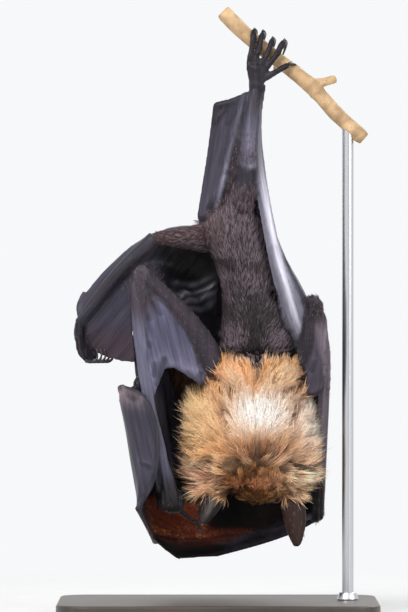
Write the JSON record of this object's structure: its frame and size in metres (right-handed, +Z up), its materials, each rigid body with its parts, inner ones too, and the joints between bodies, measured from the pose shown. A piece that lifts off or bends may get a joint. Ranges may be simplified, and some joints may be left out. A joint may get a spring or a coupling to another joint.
{
  "type": "fruit bat",
  "caption": "Life-size roosting fruit bat hanging by one foot from a cut perch, wrapped in its wings, on a plain display stand with a flat base and a rod.",
  "frame": {"origin": "middle of the underside of the stand's base", "axes": "+Z up; the bat's back faces -Y and its left wing is on +X"},
  "size_m": [0.224, 0.164, 0.4276],
  "materials": {
    "back_fur": "short dense dark brown fur with paler grizzled tips",
    "mantle_fur": "long soft golden tan fur with a cream patch on the nape",
    "crown_fur": "short brown fur",
    "wing_skin": "thin dark blue-grey skin with a soft sheen and fine creases",
    "limb_skin": "dark grey-black skin, finely wrinkled",
    "ear_skin": "bare dark brown skin",
    "horn": "glossy black claw",
    "eye": "wet dark brown eye",
    "bark": "smooth light tan bark with darker scars",
    "stand_wood": "dark stained wood, satin lacquer",
    "stand_steel": "brushed steel"
  },
  "bodies": {
    "root": {"perch": "bark", "stand_base": "stand_wood", "stand_rod": "stand_steel", "eye_left": "eye", "eye_right": "eye", "head": "crown_fur", "neck": "mantle_fur", "trunk": "back_fur", "ear_left": "ear_skin", "ear_right": "ear_skin", "thigh_left": "back_fur", "shank_left": "limb_skin", "foot_left": "limb_skin", "claw_foot_left_1": "horn", "claw_foot_left_2": "horn", "claw_foot_left_3": "horn", "claw_foot_left_4": "horn", "claw_foot_left_5": "horn", "thigh_right": "back_fur", "shank_right": "limb_skin", "foot_right": "limb_skin", "claw_foot_right_1": "horn", "claw_foot_right_2": "horn", "claw_foot_right_3": "horn", "claw_foot_right_4": "horn", "claw_foot_right_5": "horn", "forearm_left": "limb_skin", "upper_arm_left": "back_fur", "thumb_left": "limb_skin", "claw_thumb_left": "horn", "finger_2_left": "limb_skin", "finger_3_left": "limb_skin", "finger_4_left": "limb_skin", "finger_5_left": "limb_skin", "claw_index_left": "horn", "forearm_right": "limb_skin", "upper_arm_right": "back_fur", "thumb_right": "limb_skin", "claw_thumb_right": "horn", "finger_2_right": "limb_skin", "finger_3_right": "limb_skin", "finger_4_right": "limb_skin", "finger_5_right": "limb_skin", "claw_index_right": "horn", "propatagium_left": "wing_skin", "uropatagium_left": "wing_skin", "propatagium_right": "wing_skin", "uropatagium_right": "wing_skin", "plagiopatagium_left_flank": "wing_skin", "plagiopatagium_left_belly": "wing_skin", "plagiopatagium_right": "wing_skin", "web_2_3_left": "wing_skin", "web_3_4_left": "wing_skin", "web_4_5_left": "wing_skin", "web_2_3_right": "wing_skin", "web_3_4_right": "wing_skin", "web_4_5_right": "wing_skin"}
  },
  "joints": []
}
